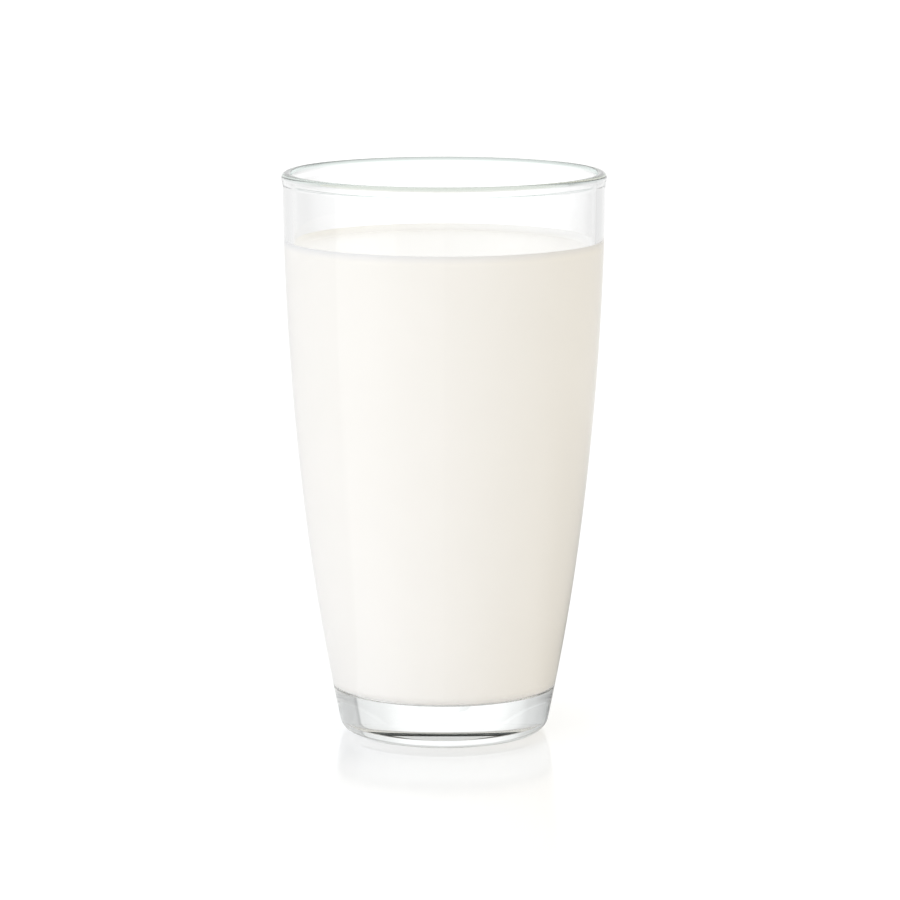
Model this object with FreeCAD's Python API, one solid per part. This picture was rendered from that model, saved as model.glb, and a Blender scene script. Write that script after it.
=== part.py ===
"""A tall pressed-glass tumbler of ayran, as two solids of revolution about Z.

Each solid is one closed outline in the half-plane (radius, height), turned round the axis.
The origin is the centre of the foot, on the surface that the glass stands on.
"""
import FreeCAD, Part
import math
import os

# Tumbler, outside (mm, degrees)
HEIGHT = 139.8            # foot to the top of the lip
RIM_DIAMETER = 80.0       # over the bead at the lip
FOOT_DIAMETER = 44.5      # outer edge of the flat ring that the glass stands on
HEEL_RADIUS = 3.8         # rounding between the foot and the wall
HEEL_TILT = 12.0          # lean of the wall where it leaves the heel, from upright
NECK_TILT = 0.5           # lean of the wall where it meets the bead
SWEEP_SHARE = 2.0         # length of the wall's gentle upper arc, over that of its lower arc

# Bead and lip
LIP_THICKNESS = 2.7       # across the half-round lip
BEAD_PROUD = 0.33         # how far the bead stands out from the neck
BEAD_DROP = 2.3           # from the bead's widest ring down to the neck

# Bowl
BASE_THICKNESS = 10.8     # solid glass under the middle of the floor
FLOOR_CORNER = 3.0        # rounding between the floor and the wall
FLOOR_DISH = 0.4          # how far the floor's edge lies above its middle
WALL_AT_FLOOR = 3.2       # wall where that rounding ends

# Recess under the foot
PUNT_DIAMETER = 37.0      # inner edge of the foot ring
PUNT_DEPTH = 1.8          # height of the recess at its middle
PUNT_EDGE = 1.2           # rounding of the ring's inner edge

# Drink
HEADSPACE = 16.6          # from the top of the lip down to the drink's contact line
MENISCUS_RISE = 1.5       # how far the drink climbs the glass
MENISCUS_REACH = 3.0      # width of the ring over which it climbs
DRINK_CLEARANCE = 0.15    # between the drink's solid and the glass


def at(radius, height):
    """A point of an outline."""
    return FreeCAD.Vector(radius, 0, height)


def heading(tilt):
    """The upward direction that leans outwards by tilt degrees from upright."""
    angle = math.radians(tilt)
    return at(math.sin(angle), math.cos(angle))


def left_of(direction):
    """The direction a quarter turn anticlockwise, seen with the axis on the left."""
    return at(-direction.z, direction.x)


class Sweep:
    """An arc from start to end that sets off along direction."""

    def __init__(self, start, direction, end):
        chord = end - start
        normal = left_of(direction)
        self.start, self.end = start, end
        self.radius = chord.dot(chord) / (2 * chord.dot(normal))
        self.centre = start + normal * self.radius

    def direction_at(self, point):
        """The way the arc heads as it passes point."""
        across = (self.centre - point) / self.radius
        return at(across.z, -across.x)

    def radius_at(self, height):
        """The outline's radius at a height, on the side of the centre away from the axis."""
        rise = height - self.centre.z
        return self.centre.x + math.sqrt(self.radius ** 2 - rise ** 2)

    def edge(self):
        half = (self.start + self.end) / 2 - self.centre
        middle = self.centre + half.normalize() * abs(self.radius)
        return Part.Arc(self.start, middle, self.end).toShape()


def joined_sweeps(start, tilt, end, end_tilt, share=1.0):
    """Two arcs that touch where they meet, from start at tilt to end at end_tilt.

    The tangents at start and end are cut where the line between the cuts touches both arcs;
    share is the length cut from the end's tangent over that cut from the start's.
    """
    chord = end - start
    lean = heading(tilt) + heading(end_tilt) * share
    square = lean.dot(lean) - (1 + share) ** 2
    half = chord.dot(lean)
    cut = chord.dot(chord) / (half + math.sqrt(half ** 2 - square * chord.dot(chord)))
    first = start + heading(tilt) * cut
    second = end - heading(end_tilt) * (cut * share)
    meeting = first + (second - first) / (1 + share)
    along = (second - first).normalize()
    return Sweep(start, heading(tilt), meeting), Sweep(meeting, along, end)


def dish(height, corner, rounding):
    """The arc that is level on the axis at height and runs out to touch a corner's circle.

    It curves up to a circle that lies wholly above it, and down to one that reaches below.
    """
    lift = corner.z - height
    radius = (corner.x ** 2 + lift ** 2 - rounding ** 2) / (2 * (lift - rounding))
    centre = at(0, height + radius)
    touch = corner + (corner - centre) * (rounding / (radius - rounding))
    return Sweep(at(0, height), at(1, 0), touch)


def outer_wall():
    """The wall from the heel to the neck: a tight arc that flows into a gentle one."""
    heel = at(FOOT_DIAMETER / 2, HEEL_RADIUS) - left_of(heading(HEEL_TILT)) * HEEL_RADIUS
    neck = at(RIM_DIAMETER / 2 - BEAD_PROUD, HEIGHT - LIP_THICKNESS / 2 - BEAD_DROP)
    return joined_sweeps(heel, HEEL_TILT, neck, NECK_TILT, SWEEP_SHARE)


def floor_corner(wall):
    """The centre of the rounding inside the bowl, and the wall's direction beside it."""
    height = BASE_THICKNESS + FLOOR_DISH + FLOOR_CORNER
    lower = wall[0]
    beside = at(lower.radius_at(height), height)
    direction = lower.direction_at(beside)
    inset = (WALL_AT_FLOOR + FLOOR_CORNER) / abs(left_of(direction).x)
    return at(beside.x - inset, height), direction


def bowl(wall, clearance):
    """The bowl's floor, corner and wall, all moved into the bowl by clearance."""
    corner, direction = floor_corner(wall)
    radius = FLOOR_CORNER - clearance
    floor = dish(BASE_THICKNESS + clearance, corner, radius)
    side = corner - left_of(direction) * radius
    turn = Sweep(floor.end, floor.direction_at(floor.end), side)
    lip = at(RIM_DIAMETER / 2 - LIP_THICKNESS - clearance, HEIGHT - LIP_THICKNESS / 2)
    tilt = math.degrees(math.atan2(direction.x, direction.z))
    return [floor, turn, *joined_sweeps(side, tilt, lip, 0.0, SWEEP_SHARE)]


def underside():
    """The recess under the base, from the axis to the rounded inner edge of the foot ring."""
    ring = at(PUNT_DIAMETER / 2, 0)
    roof = dish(PUNT_DEPTH, ring + at(0, PUNT_EDGE), PUNT_EDGE)
    return [roof, Sweep(roof.end, roof.direction_at(roof.end), ring)]


def revolved(edges):
    """The solid that a closed outline makes when it is turned round the axis."""
    face = Part.Face(Part.Wire(edges))
    return face.revolve(at(0, 0), at(0, 1), 360)


def drawn(sweeps):
    """The edges of a run of arcs."""
    return [sweep.edge() for sweep in sweeps]


def tumbler():
    """Outline: recess, foot ring, heel, wall, bead, lip, then down the bowl to the axis."""
    under = underside()
    wall = outer_wall()
    inside = bowl(wall, 0.0)
    ring = Part.makeLine(under[-1].end, at(FOOT_DIAMETER / 2, 0))
    heel = Sweep(at(FOOT_DIAMETER / 2, 0), at(1, 0), wall[0].start)
    widest = at(RIM_DIAMETER / 2, HEIGHT - LIP_THICKNESS / 2)
    bead = joined_sweeps(wall[1].end, NECK_TILT, widest, 0.0)
    lip = Part.Arc(widest, widest + at(-LIP_THICKNESS / 2, LIP_THICKNESS / 2), inside[-1].end)
    edges = [*drawn(under), ring, *drawn([heel, *wall, *bead]), lip.toShape()]
    edges += [*drawn(reversed(inside)), Part.makeLine(inside[0].start, under[0].start)]
    return revolved(edges)


def drink():
    """Outline: up the bowl to the contact line, over the meniscus, then level to the axis."""
    *floor, lower, upper = bowl(outer_wall(), DRINK_CLEARANCE)
    contact_height = HEIGHT - HEADSPACE
    contact = at(upper.radius_at(contact_height), contact_height)
    side = Sweep(upper.start, upper.direction_at(upper.start), contact)
    level = contact_height - MENISCUS_RISE
    meniscus = Sweep(at(contact.x - MENISCUS_REACH, level), at(1, 0), contact)
    middle = at(0, level)
    edges = drawn([*floor, lower, side, meniscus])
    edges += [Part.makeLine(meniscus.start, middle), Part.makeLine(middle, floor[0].start)]
    return revolved(edges)


def main():
    os.makedirs("parts", exist_ok=True)
    for node, build in (("tumbler", tumbler), ("drink", drink)):
        shape = build()
        shape.exportStep(f"parts/{node}.step")
        box = shape.optimalBoundingBox()
        print(f"{node}: {shape.ShapeType}, valid {shape.isValid()}, {shape.Volume / 1000:.1f} ml, "
              f"height {box.ZMin:.2f} to {box.ZMax:.2f}, {box.XLength:.2f} across")


main()
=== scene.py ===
"""A glass of ayran on a white table: a pressed soda-lime tumbler, filled to just below its lip.

Both pieces are surfaces of revolution about Z. Each outline is a run of arcs in the half-plane
(radius, height), in millimetres, and is turned round the axis as one grid of points.
"""
import math

import bpy
import numpy as np
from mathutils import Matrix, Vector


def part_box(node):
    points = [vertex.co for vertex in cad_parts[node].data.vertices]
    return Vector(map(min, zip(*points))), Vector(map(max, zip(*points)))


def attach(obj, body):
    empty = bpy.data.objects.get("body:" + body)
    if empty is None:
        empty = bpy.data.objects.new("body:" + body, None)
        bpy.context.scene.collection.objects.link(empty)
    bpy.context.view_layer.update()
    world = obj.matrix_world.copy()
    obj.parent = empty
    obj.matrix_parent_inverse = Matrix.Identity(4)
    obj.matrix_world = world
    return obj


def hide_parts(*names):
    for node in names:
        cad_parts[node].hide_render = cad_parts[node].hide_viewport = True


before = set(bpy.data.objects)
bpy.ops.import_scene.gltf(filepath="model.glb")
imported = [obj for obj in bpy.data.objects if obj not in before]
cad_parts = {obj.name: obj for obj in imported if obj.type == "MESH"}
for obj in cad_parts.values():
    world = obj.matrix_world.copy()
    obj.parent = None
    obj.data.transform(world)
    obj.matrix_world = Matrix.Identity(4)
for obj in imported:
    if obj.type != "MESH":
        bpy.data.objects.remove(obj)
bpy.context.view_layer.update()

MM = 0.001

# Tumbler sizes, from the frame where its boxes give them (mm, degrees)
tumbler_low, tumbler_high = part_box("tumbler")
drink_low, drink_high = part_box("drink")
HEIGHT = tumbler_high.z / MM
RIM_RADIUS = tumbler_high.x / MM
FOOT_RADIUS = 22.25
HEEL_ROUNDING = 3.8
HEEL_TILT = 12.0
NECK_TILT = 0.5
SWEEP_SHARE = 2.0
LIP_THICKNESS = 2.7
BEAD_PROUD = 0.33
BEAD_DROP = 2.3
FLOOR_DISH = 0.4
FLOOR_ROUNDING = 3.0
WALL_AT_FLOOR = 3.2
PUNT_RADIUS = 18.5
PUNT_DEPTH = 1.8
PUNT_EDGE = 1.2
DRINK_CLEARANCE = 0.15    # between the drink's CAD solid and the glass
BASE_THICKNESS = drink_low.z / MM - DRINK_CLEARANCE

# Drink sizes
CONTACT_HEIGHT = drink_high.z / MM
MENISCUS_RISE = 1.5
LEVEL = CONTACT_HEIGHT - MENISCUS_RISE
MENISCUS_REACH = 3.0
INTO_WALL = 0.12          # how far the drink's side reaches into the glass, so that no air shows

TURNS = 320               # points round each piece
LOOKING_UP = 0.1          # a face is part of the drink's free surface if its normal rises more


def vec(radius, height):
    """A point or a direction of an outline."""
    return np.array([radius, height], float)


def heading(tilt):
    """The upward direction that leans outwards by tilt degrees from upright."""
    return vec(math.sin(math.radians(tilt)), math.cos(math.radians(tilt)))


def left_of(direction):
    """The direction a quarter turn anticlockwise."""
    return vec(-direction[1], direction[0])


def unit(v):
    """The vector v at length 1."""
    return v / np.hypot(*v)


class Sweep:
    """An arc from start to end that sets off along direction.

    Its signed radius is the chord squared over twice the chord's part along the start's normal.
    """

    def __init__(self, start, direction, end):
        chord = end - start
        normal = left_of(direction)
        self.start, self.end = start, end
        self.radius = chord @ chord / (2 * chord @ normal)
        self.centre = start + normal * self.radius

    def direction_at(self, point):
        """The way the arc heads as it passes point."""
        across = (self.centre - point) / self.radius
        return vec(across[1], -across[0])

    def radius_at(self, height):
        """The outline's radius at a height, outside the centre."""
        return self.centre[0] + math.sqrt(self.radius ** 2 - (height - self.centre[1]) ** 2)

    def points(self, count):
        """count points from the start, evenly spaced in angle, without the end."""
        begin = math.atan2(*(self.start - self.centre)[::-1])
        finish = math.atan2(*(self.end - self.centre)[::-1])
        turn = (finish - begin + math.pi) % (2 * math.pi) - math.pi
        angle = begin + turn * np.arange(count) / count
        return self.centre + abs(self.radius) * np.stack([np.cos(angle), np.sin(angle)], 1)


def joined_sweeps(start, tilt, end, end_tilt, share=1.0):
    """Two arcs that touch where they meet, from start at tilt to end at end_tilt.

    The tangents at start and end are cut where the line between the cuts touches both arcs;
    share is the length cut from the end's tangent over that cut from the start's.
    """
    chord = end - start
    lean = heading(tilt) + heading(end_tilt) * share
    square = lean @ lean - (1 + share) ** 2
    half = chord @ lean
    cut = chord @ chord / (half + math.sqrt(half ** 2 - square * (chord @ chord)))
    first = start + heading(tilt) * cut
    second = end - heading(end_tilt) * (cut * share)
    meeting = first + (second - first) / (1 + share)
    return Sweep(start, heading(tilt), meeting), Sweep(meeting, unit(second - first), end)


def dish(height, corner, rounding):
    """The arc that is level on the axis at height and runs out to touch a corner's circle.

    Its centre is on the axis, as far from the corner's centre as its radius less rounding.
    """
    lift = corner[1] - height
    radius = (corner[0] ** 2 + lift ** 2 - rounding ** 2) / (2 * (lift - rounding))
    centre = vec(0, height + radius)
    touch = corner + (corner - centre) * rounding / (radius - rounding)
    return Sweep(vec(0, height), vec(1, 0), touch)


def straight(start, end, count):
    """count points of a line from start, evenly spaced, without the end."""
    return start + (end - start) * np.arange(count)[:, None] / count


def outer_wall():
    """The wall from the heel to the neck: a tight arc that flows into a gentle one."""
    heel = vec(FOOT_RADIUS, HEEL_ROUNDING) - left_of(heading(HEEL_TILT)) * HEEL_ROUNDING
    neck = vec(RIM_RADIUS - BEAD_PROUD, HEIGHT - LIP_THICKNESS / 2 - BEAD_DROP)
    return joined_sweeps(heel, HEEL_TILT, neck, NECK_TILT, SWEEP_SHARE)


def bowl(inset):
    """The bowl's floor, corner and wall, moved by inset into the bowl, or by -inset into the glass.

    The corner is a circle that keeps WALL_AT_FLOOR from the outer wall, square to it. The floor
    is the dish that touches it, and the wall runs from it to the lip as two joined sweeps.
    """
    lower = outer_wall()[0]
    height = BASE_THICKNESS + FLOOR_DISH + FLOOR_ROUNDING
    beside = vec(lower.radius_at(height), height)
    direction = lower.direction_at(beside)
    corner = beside - vec((WALL_AT_FLOOR + FLOOR_ROUNDING) / abs(left_of(direction)[0]), 0)
    rounding = FLOOR_ROUNDING - inset
    floor = dish(BASE_THICKNESS + inset, corner, rounding)
    side = corner - left_of(direction) * rounding
    turn = Sweep(floor.end, floor.direction_at(floor.end), side)
    lip = vec(RIM_RADIUS - LIP_THICKNESS - inset, HEIGHT - LIP_THICKNESS / 2)
    tilt = math.degrees(math.atan2(*direction))
    return [floor, turn, *joined_sweeps(side, tilt, lip, 0.0, SWEEP_SHARE)]


def turned(name, profile):
    """A closed mesh: the outline's points at each of TURNS angles round Z, with a pole at each end.

    A point is (radius cos angle, radius sin angle, height). The outline starts and ends on the
    axis and keeps the outside on its right, so each quad runs round the axis, then along it.
    """
    angle = np.arange(TURNS) * 2 * math.pi / TURNS
    radius, height = profile[1:-1, :1], profile[1:-1, 1:]
    ring = np.stack([radius * np.cos(angle), radius * np.sin(angle), height + 0 * angle], 2)
    poles = np.array([[0, 0, profile[0, 1]], [0, 0, profile[-1, 1]]])
    points = np.concatenate([ring.reshape(-1, 3), poles]) * MM
    rows = len(profile) - 2
    here = np.arange(TURNS)
    there = (here + 1) % TURNS
    base = np.arange(rows - 1)[:, None] * TURNS
    quads = np.stack([base + here, base + there, base + TURNS + there, base + TURNS + here], 2)
    first, last = rows * TURNS, rows * TURNS + 1
    top = (rows - 1) * TURNS
    start_fan = np.stack([np.full(TURNS, first), there, here], 1)
    end_fan = np.stack([top + here, top + there, np.full(TURNS, last)], 1)
    faces = quads.reshape(-1, 4).tolist() + start_fan.tolist() + end_fan.tolist()
    mesh = bpy.data.meshes.new(name)
    mesh.from_pydata(points.tolist(), [], faces)
    mesh.shade_smooth()
    piece = bpy.data.objects.new(name, mesh)
    bpy.context.scene.collection.objects.link(piece)
    return piece


def reversed_points(sweep, count):
    """The arc's points from its end back to just past its start."""
    return Sweep(sweep.end, -sweep.direction_at(sweep.end), sweep.start).points(count)


def make_tumbler():
    """Recess, foot ring, heel, wall, bead, lip, then down the bowl to the axis.

    The number with each stretch of the outline is how many points it gets.
    """
    ring = vec(PUNT_RADIUS, 0)
    roof = dish(PUNT_DEPTH, ring + vec(0, PUNT_EDGE), PUNT_EDGE)
    edge = Sweep(roof.end, roof.direction_at(roof.end), ring)
    wall = outer_wall()
    heel = Sweep(vec(FOOT_RADIUS, 0), vec(1, 0), wall[0].start)
    widest = vec(RIM_RADIUS, HEIGHT - LIP_THICKNESS / 2)
    bead = joined_sweeps(wall[1].end, NECK_TILT, widest, 0.0)
    floor, turn, low, high = bowl(0.0)
    top = widest + vec(-LIP_THICKNESS / 2, LIP_THICKNESS / 2)
    lip = [Sweep(widest, vec(0, 1), top), Sweep(top, vec(-1, 0), high.end)]
    foot = straight(ring, vec(FOOT_RADIUS, 0), 4)
    profile = np.concatenate([
        roof.points(10), edge.points(6), foot, heel.points(16),
        wall[0].points(12), wall[1].points(20), bead[0].points(6), bead[1].points(6),
        lip[0].points(14), lip[1].points(14),
        reversed_points(high, 24), reversed_points(low, 12), reversed_points(turn, 14),
        reversed_points(floor, 10), floor.start[None]])
    piece = turned("tumbler_glass", profile)
    piece.data.materials.append(soda_lime_glass())
    return piece


def make_drink():
    """Up the bowl to the contact line, over the meniscus, then level to the axis.

    Its floor and side lie INTO_WALL inside the glass. The meniscus is an arc that is level where
    it leaves the free surface. Faces that look up are the free surface, and the rest touch glass.
    """
    floor, turn, low, high = bowl(-INTO_WALL)
    inner = bowl(0.0)[3]
    contact = vec(inner.radius_at(CONTACT_HEIGHT), CONTACT_HEIGHT)
    buried = vec(high.radius_at(CONTACT_HEIGHT), CONTACT_HEIGHT)
    side = Sweep(high.start, high.direction_at(high.start), buried)
    meniscus = Sweep(vec(contact[0] - MENISCUS_REACH, LEVEL), vec(1, 0), contact)
    middle = vec(0, LEVEL)
    surface = straight(meniscus.start, middle, 12)
    profile = np.concatenate([
        floor.points(10), turn.points(14), low.points(14), side.points(24), buried[None],
        reversed_points(meniscus, 16), surface, middle[None]])
    piece = turned("ayran", profile)
    piece.data.materials.append(ayran_behind_glass())
    piece.data.materials.append(ayran_surface())
    way = np.empty(len(piece.data.polygons) * 3, np.float32)
    piece.data.polygons.foreach_get("normal", way)
    facing_up = way[2::3] > LOOKING_UP
    piece.data.polygons.foreach_set("material_index", facing_up.astype(np.int32))
    return piece


# What mirrored and bent rays see, as grey levels. Walls and table go by compass turn: 0 and 1 are
# the front, 0.5 is straight behind the glass, and 0.25 and 0.75 are its left and its right.
# The roof goes by rise, the sine of the height above the horizon.
TENT_WALLS = [(0.0, 1.0), (0.05, 1.0), (0.17, 1.25), (0.240, 1.25), (0.246, 0.95), (0.268, 0.8),
              (0.285, 0.2), (0.31, 0.5), (0.345, 0.61), (0.385, 0.72), (0.415, 0.95), (0.44, 1.08),
              (0.54, 1.08), (0.575, 0.90), (0.612, 0.82), (0.618, 0.45), (0.626, 0.60),
              (0.71, 0.60), (0.78, 1.0)]
TENT_ROOF = [(0.0, 1.0), (0.38, 1.0), (0.47, 0.6), (0.60, 0.2), (0.80, 0.02)]
# On the table these levels are painted light and painted shade for mirrored and bent rays: the dark
# stretch to the right of and behind the glass is a painted shadow of it, and levels above 1 are
# painted light.
TABLE_NEAR_PAINTED_LIGHT_AND_SHADE = [(0.0, 0.9), (0.05, 0.9), (0.17, 1.3), (0.215, 1.3), (0.221, 0.9), (0.42, 0.9),
              (0.50, 0.7), (0.53, 0.6), (0.56, 0.2), (0.70, 0.2), (0.80, 0.8)]
TABLE_FAR_PAINTED_LIGHT_AND_SHADE = [(0.0, 0.95), (0.05, 0.95), (0.17, 1.3), (0.225, 1.3), (0.231, 0.93), (0.38, 0.93),
             (0.425, 0.86), (0.468, 0.87), (0.482, 0.98), (0.492, 1.2), (0.51, 1.2), (0.53, 0.98),
             (0.545, 0.86), (0.60, 0.80), (0.66, 0.82)]

# The table round the glass, by distance from the axis (mm)
TABLE_HALF = 6000.0       # half the side of the square
TABLE_DROP = 0.02         # how far it lies below the foot, so that no face lies in another
NEAR_ENDS = 30.0          # TABLE_NEAR_PAINTED_LIGHT_AND_SHADE holds up to here
FAR_BEGINS = 450.0        # and TABLE_FAR_PAINTED_LIGHT_AND_SHADE from here
SHADOW_ENDS = 60.0        # bent rays see the lit sheet, its own shadow and the painted shade up to here
LEVELS_BEGIN = 100.0      # and from here the painted light and shade above, as a glow

# Light
WHITE = "#FFFFFF"
SOFTBOX_TINT = "#F0F6FF"

# Glass and drink (mm, and roughness from 0 to 1)
GLASS_IOR = 1.52
AYRAN_IOR = 1.345         # against the glass, a little above water
SURFACE_IOR = 1.35        # of the drink's free surface
WAVE_WIDTH = 14.0         # the slow waves that pressing leaves in the glass
WAVE_DEPTH = 0.05
MOTTLE_WIDTH = 18.0       # patches of gathered fat
FIRE_POLISH = 0.003       # roughness of the polished wall
MOULD_MATT = 0.3          # of the recess under the base
FOOT_MATT = 0.35          # of the ring that rubs on tables
MATT_EDGE = 0.6           # width over which the recess turns matt
FOOT_SCUFF = (0.05, 0.25)   # heights between which the foot ring turns from matt to polished
LIP_GREEN = (0.6, 1.3)      # depths below the top of the lip between which its green fades


# Materials

# Sockets of a Mix node that mixes colours, which have no names of their own
SHARE, FIRST, SECOND, MIXED = 0, 6, 7, 2


def linear(hex_colour):
    """An sRGB hex colour as linear red, green and blue, and an alpha of 1."""
    values = [int(hex_colour[i:i + 2], 16) / 255 for i in (1, 3, 5)]
    return [v / 12.92 if v <= 0.04045 else ((v + 0.055) / 1.055) ** 2.4 for v in values] + [1.0]


def add(tree, kind, links=None, **settings):
    """Adds a node: settings are its own properties; links gives each input a value or a socket."""
    node = tree.nodes.new("ShaderNode" + kind)
    for key, value in settings.items():
        setattr(node, key, value)
    for key, value in (links or {}).items():
        if isinstance(value, bpy.types.NodeSocket):
            tree.links.new(value, node.inputs[key])
        else:
            node.inputs[key].default_value = value
    return node


def compass(tree, way):
    """The turn of a direction about Z: 0 and 1 in front, 0.5 behind, 0.75 on the right."""
    across = add(tree, "SeparateXYZ", {0: way}).outputs
    turn = add(tree, "Math", {0: across["X"], 1: across["Y"]}, operation="ARCTAN2").outputs[0]
    return add(tree, "MapRange", {
        "Value": turn, "From Min": -math.pi, "From Max": math.pi}).outputs["Result"]


def grey_levels(tree, value, stops):
    """A smooth run of grey levels along value: stops are (value, level) pairs."""
    node = add(tree, "ValToRGB", {"Fac": value})
    node.color_ramp.interpolation = "EASE"
    points = node.color_ramp.elements
    while len(points) < len(stops):
        points.new(0.5)
    for point, (where, level) in zip(points, stops):
        point.position, point.color = where, (level, level, level, 1.0)
    return node.outputs["Color"]


def new_material(name):
    """An empty node material and its tree."""
    material = bpy.data.materials.new(name)
    material.use_nodes = True
    material.node_tree.nodes.clear()
    return material, material.node_tree


def ray_kinds(tree, *names):
    """A socket that is 1 for the rays named and 0 for all others."""
    path = add(tree, "LightPath")
    total = path.outputs[names[0]]
    for name in names[1:]:
        total = add(tree, "Math", {0: total, 1: path.outputs[name]}, operation="MAXIMUM").outputs[0]
    return total


def soda_lime_glass():
    """Soda-lime glass, pressed and fire-polished: clear, smooth and very slightly wavy.

    It has a faint green cast where it is thick. The lip is greener, and most of all at a slant,
    because light runs a long way round inside it. The recess is as matt as the mould left it,
    and so is the foot ring. The bowl's floor is matt with the recess, where the drink hides it.
    """
    material, tree = new_material("soda_lime_glass_fire_polished")
    place = add(tree, "TexCoord").outputs["Object"]
    waves = add(tree, "TexNoise", {"Vector": place, "Scale": 1 / (WAVE_WIDTH * MM), "Detail": 1.0})
    bump = add(tree, "Bump", {
        "Height": waves.outputs["Fac"], "Strength": 0.15, "Distance": WAVE_DEPTH * MM})
    level = add(tree, "SeparateXYZ", {0: place}).outputs["Z"]
    flat = add(tree, "VectorMath", {0: place, 1: (1.0, 1.0, 0.0)}, operation="MULTIPLY").outputs[0]
    reach = add(tree, "VectorMath", {0: flat}, operation="LENGTH").outputs["Value"]
    under = add(tree, "MapRange", {
        "Value": reach, "From Min": PUNT_RADIUS * MM, "From Max": (PUNT_RADIUS - MATT_EDGE) * MM,
        "To Min": FIRE_POLISH, "To Max": MOULD_MATT}).outputs[0]
    shine = add(tree, "MapRange", {
        "Value": level, "From Min": FOOT_SCUFF[1] * MM, "From Max": FOOT_SCUFF[0] * MM,
        "To Min": under, "To Max": FOOT_MATT}).outputs[0]
    lip = add(tree, "MapRange", {
        "Value": level, "From Min": (HEIGHT - LIP_GREEN[1]) * MM,
        "From Max": (HEIGHT - LIP_GREEN[0]) * MM}).outputs[0]
    facing = add(tree, "LayerWeight", {"Blend": 0.5}).outputs["Facing"]
    slant = add(tree, "MapRange", {"Value": facing, "From Min": 0.6, "From Max": 1.0}).outputs[0]
    green = add(tree, "Mix", {
        SHARE: slant, FIRST: linear("#D8E6E1"), SECOND: linear("#4E7D70")}, data_type="RGBA")
    tint = add(tree, "Mix", {
        SHARE: lip, FIRST: linear(WHITE), SECOND: green.outputs[MIXED]}, data_type="RGBA")
    glass = add(tree, "BsdfPrincipled", {
        "Base Color": tint.outputs[MIXED], "Roughness": shine,
        "IOR": GLASS_IOR, "Transmission Weight": 1.0, "Normal": bump.outputs["Normal"]})
    clear = add(tree, "BsdfTransparent", {"Color": linear(WHITE)})
    straight_on = ray_kinds(tree, "Is Shadow Ray", "Is Diffuse Ray")
    surface = add(tree, "MixShader", {0: straight_on, 1: glass.outputs[0], 2: clear.outputs[0]})
    body = add(tree, "VolumeAbsorption", {"Color": (0.0, 0.75, 0.55, 1.0), "Density": 0.5})
    add(tree, "OutputMaterial", {"Surface": surface.outputs[0], "Volume": body.outputs[0]})
    return material


def emulsion_colour(tree, first, second):
    """Yoghurt beaten with water: a warm white, a little whiter lower down as painted light, which
    makes up for the dimmer light near the bottom.

    It is mottled very faintly where the fat has gathered.
    """
    place = add(tree, "TexCoord").outputs["Object"]
    height = add(tree, "SeparateXYZ", {0: place}).outputs["Z"]
    mottle = add(tree, "TexNoise", {
        "Vector": place, "Scale": 1 / (MOTTLE_WIDTH * MM), "Detail": 3.0})
    # painted light: whiter towards the bottom, where less light reaches the drink
    painted_light_low_down = add(tree, "MapRange", {
        "Value": height, "From Min": LEVEL * MM, "From Max": BASE_THICKNESS * MM,
        "To Min": -0.1, "To Max": 0.7}).outputs[0]
    share = add(tree, "Math", {
        0: mottle.outputs["Fac"], 1: 0.4, 2: painted_light_low_down}, operation="MULTIPLY_ADD").outputs[0]
    mix = add(tree, "Mix", {
        SHARE: share, FIRST: linear(first), SECOND: linear(second)}, data_type="RGBA")
    return mix.outputs[MIXED]


def ayran_surface():
    """The drink's free surface: an opaque emulsion with a wet skin, so it has a soft shine."""
    material, tree = new_material("ayran_yoghurt_emulsion")
    drink = add(tree, "BsdfPrincipled", {
        "Base Color": emulsion_colour(tree, "#FAF9F7", "#FDFCFB"), "Roughness": 0.22,
        "IOR": SURFACE_IOR})
    add(tree, "OutputMaterial", {"Surface": drink.outputs[0]})
    return material


def ayran_behind_glass():
    """The drink against the glass: bare emulsion seen straight on, and a mirror at a low angle.

    Water bends light less than glass does, so the glass mirrors whatever meets it at a low angle.
    Where the drink climbs the glass it is thin, and a little greyer.
    """
    material, tree = new_material("ayran_wetting_glass")
    height = add(tree, "SeparateXYZ", {0: add(tree, "TexCoord").outputs["Object"]}).outputs["Z"]
    thin = add(tree, "MapRange", {
        "Value": height, "From Min": (LEVEL - 0.5) * MM,
        "From Max": CONTACT_HEIGHT * MM}).outputs[0]
    colour = add(tree, "Mix", {
        SHARE: thin, FIRST: emulsion_colour(tree, "#F7F3ED", "#FEFAF5"),
        SECOND: linear("#F2F0F0")}, data_type="RGBA")
    drink = add(tree, "BsdfPrincipled", {
        "Base Color": colour.outputs[MIXED], "Roughness": 0.5, "IOR": 1.0,
        "Specular IOR Level": 0.0})
    mirror = add(tree, "BsdfAnisotropic", {"Color": linear(WHITE), "Roughness": 0.02})
    share = add(tree, "Fresnel", {"IOR": AYRAN_IOR / GLASS_IOR})
    surface = add(tree, "MixShader", {
        0: share.outputs[0], 1: drink.outputs[0], 2: mirror.outputs[0]})
    add(tree, "OutputMaterial", {"Surface": surface.outputs[0]})
    return material


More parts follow.
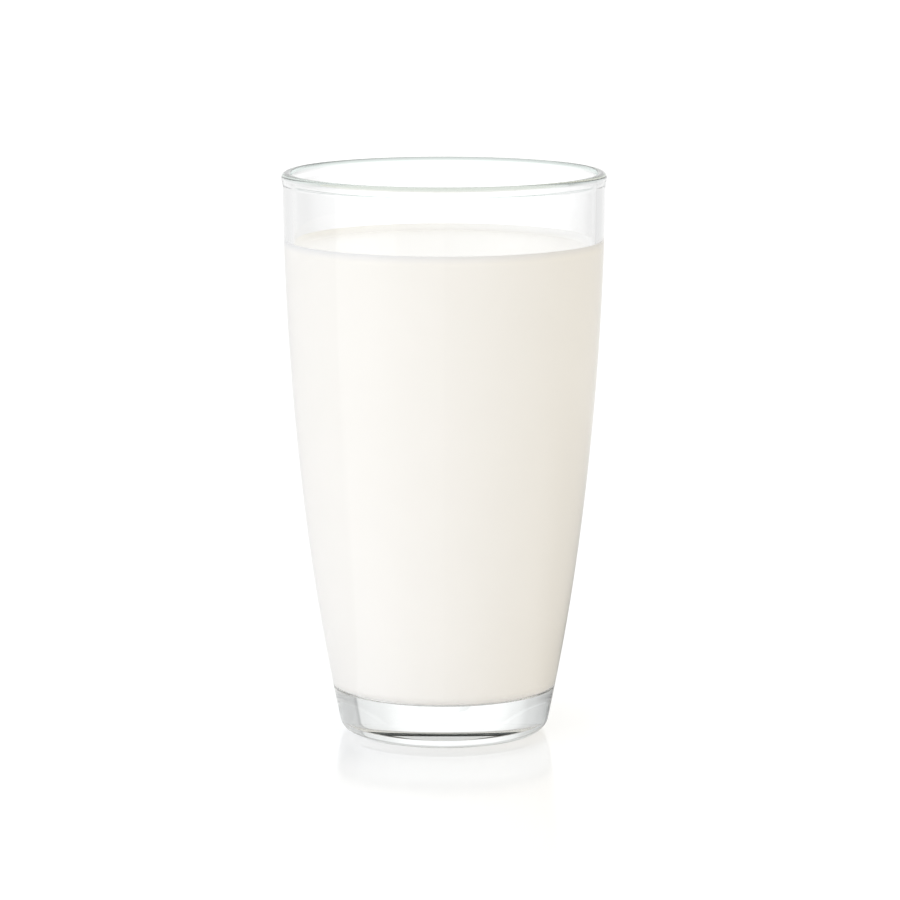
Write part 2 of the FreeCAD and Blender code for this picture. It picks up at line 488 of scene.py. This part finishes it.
def white_table():
    """White acrylic sheet, polished and wiped: the white ground, with a faint, soft mirror image.

    Near the glass, mirrored and bent rays see the lit sheet, tinted by painted light and painted
    shade. Farther off it glows for them with those levels, though it is no lamp.
    """
    material, tree = new_material("white_acrylic_table_painted_light_and_shade")
    place = add(tree, "TexCoord").outputs["Object"]
    turn = compass(tree, place)
    distance = add(tree, "VectorMath", {0: place}, operation="LENGTH").outputs["Value"]
    away = add(tree, "MapRange", {
        "Value": distance, "From Min": NEAR_ENDS * MM, "From Max": FAR_BEGINS * MM}).outputs[0]
    # painted light and painted shade by compass turn and distance, seen only by mirrored and bent
    # rays
    shade = add(tree, "Mix", {
        SHARE: away, FIRST: grey_levels(tree, turn, TABLE_NEAR_PAINTED_LIGHT_AND_SHADE),
        SECOND: grey_levels(tree, turn, TABLE_FAR_PAINTED_LIGHT_AND_SHADE)}, data_type="RGBA").outputs[MIXED]
    bent = ray_kinds(tree, "Is Glossy Ray", "Is Transmission Ray")
    tone = add(tree, "Mix", {
        SHARE: bent, FIRST: linear(WHITE), SECOND: shade}, data_type="RGBA").outputs[MIXED]
    colour = add(tree, "VectorMath", {0: tone, 1: linear("#F4F5F8")[:3]}, operation="MULTIPLY")
    glow = add(tree, "Math", {0: ray_kinds(tree, "Is Camera Ray"), 1: 0.14}, operation="MULTIPLY")
    sheet = add(tree, "BsdfPrincipled", {
        "Base Color": colour.outputs[0], "Roughness": 0.12, "IOR": 1.4,
        "Emission Color": linear(WHITE), "Emission Strength": glow.outputs[0]})
    # painted glow: far from the glass the sheet shows the painted light and shade to bent rays as
    # emission
    ground = add(tree, "Emission", {"Color": shade})
    out = add(tree, "MapRange", {
        "Value": distance, "From Min": SHADOW_ENDS * MM, "From Max": LEVELS_BEGIN * MM}).outputs[0]
    seen = add(tree, "Math", {0: bent, 1: out}, operation="MULTIPLY").outputs[0]
    surface = add(tree, "MixShader", {0: seen, 1: sheet.outputs[0], 2: ground.outputs[0]})
    add(tree, "OutputMaterial", {"Surface": surface.outputs[0]})
    return material


# Scene

def dress(piece, node):
    """Gives a new piece its body, and hides the CAD node that it stands for."""
    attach(piece, "root")
    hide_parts(node)


def make_table():
    """A flat square under the glass, with its four corners TABLE_HALF out on X and Y."""
    half, below = TABLE_HALF * MM, -TABLE_DROP * MM
    mesh = bpy.data.meshes.new("table")
    corners = [(x * half, y * half, below) for x, y in ((-1, -1), (1, -1), (1, 1), (-1, 1))]
    mesh.from_pydata(corners, [], [(0, 1, 2, 3)])
    table = bpy.data.objects.new("table", mesh)
    bpy.context.scene.collection.objects.link(table)
    table.data.materials.append(white_table())


def make_world():
    """Plain soft light all round. Sight lines meet plain white.

    Mirrored and bent rays meet a light tent. It has darker and brighter panels from the table up
    to about 22 degrees, and fades to near black overhead. Its right-hand back corner has a hard
    edge, and its left-hand one shades off. The soft light is plain white from the left, and a
    little warmer from the right.
    """
    world = bpy.data.worlds.new("studio")
    bpy.context.scene.world = world
    world.use_nodes = True
    tree = world.node_tree
    tree.nodes.clear()
    way = add(tree, "TexCoord").outputs["Generated"]
    across = add(tree, "SeparateXYZ", {0: way}).outputs
    walls = grey_levels(tree, compass(tree, way), TENT_WALLS)
    roof = grey_levels(tree, across["Z"], TENT_ROOF)
    tent = add(tree, "VectorMath", {0: walls, 1: roof}, operation="MULTIPLY").outputs[0]
    studio = add(tree, "Background", {"Color": tent, "Strength": 1.0})
    white = add(tree, "Background", {"Color": linear(WHITE), "Strength": 1.0})
    right = add(tree, "MapRange", {"Value": across["X"], "From Min": -0.3, "From Max": 0.6})
    tint = add(tree, "Mix", {
        SHARE: right.outputs[0], FIRST: linear("#FBFDFF"), SECOND: linear("#FFF9EA")},
        data_type="RGBA")
    light = add(tree, "Background", {"Color": tint.outputs[MIXED], "Strength": 1.0})
    bent = ray_kinds(tree, "Is Glossy Ray", "Is Transmission Ray")
    camera = ray_kinds(tree, "Is Camera Ray")
    inner = add(tree, "MixShader", {0: bent, 1: light.outputs[0], 2: studio.outputs[0]})
    outer = add(tree, "MixShader", {0: camera, 1: inner.outputs[0], 2: white.outputs[0]})
    add(tree, "OutputWorld", {"Surface": outer.outputs[0]})


def make_lamp(name, azimuth, elevation, distance, width, height, power, tint):
    """A soft rectangular lamp that faces the middle of the glass, azimuth degrees left of front.

    Mirrored rays don't see it, because the tent gives them its bright panel.
    """
    lamp = bpy.data.lights.new(name, "AREA")
    lamp.color = linear(tint)[:3]
    lamp.shape, lamp.size, lamp.size_y, lamp.energy = "RECTANGLE", width, height, power
    holder = bpy.data.objects.new(name, lamp)
    bpy.context.scene.collection.objects.link(holder)
    turn, lift = math.radians(azimuth), math.radians(elevation)
    target = np.array([0, 0, HEIGHT * MM / 2])
    level = math.cos(lift)
    away = np.array([-math.sin(turn) * level, -math.cos(turn) * level, math.sin(lift)])
    holder.location = target + away * distance
    holder.rotation_euler = (math.pi / 2 - lift, 0, -turn)
    holder.visible_glossy = False


def make_camera():
    """A long lens, over a metre in front of the glass and above its lip, tilted down."""
    focal_length, film_width = 177.15, 36
    aside, back, up = 1.44, 1084.6, 246.1
    tilt = 9.197
    camera = bpy.data.cameras.new("camera")
    camera.lens, camera.sensor_width = focal_length, film_width
    holder = bpy.data.objects.new("camera", camera)
    bpy.context.scene.collection.objects.link(holder)
    holder.location = (aside * MM, -back * MM, up * MM)
    holder.rotation_euler = (math.radians(90 - tilt), 0, 0)
    bpy.context.scene.camera = holder


make_camera()
dress(make_tumbler(), "tumbler")
dress(make_drink(), "drink")
make_table()
make_world()
make_lamp("left_softbox", azimuth=60, elevation=8, distance=0.7, width=0.66, height=0.5,
          power=0.36, tint=SOFTBOX_TINT)
make_lamp("front_softbox", azimuth=36, elevation=16, distance=1.4, width=1.4, height=1.0,
          power=3.5, tint=SOFTBOX_TINT)

bpy.context.scene.view_settings.view_transform = "Standard"
# Light that runs round inside the lip needs many bounces
bpy.context.scene.cycles.max_bounces = 24
bpy.context.scene.cycles.glossy_bounces = 10
bpy.context.scene.cycles.transmission_bounces = 16
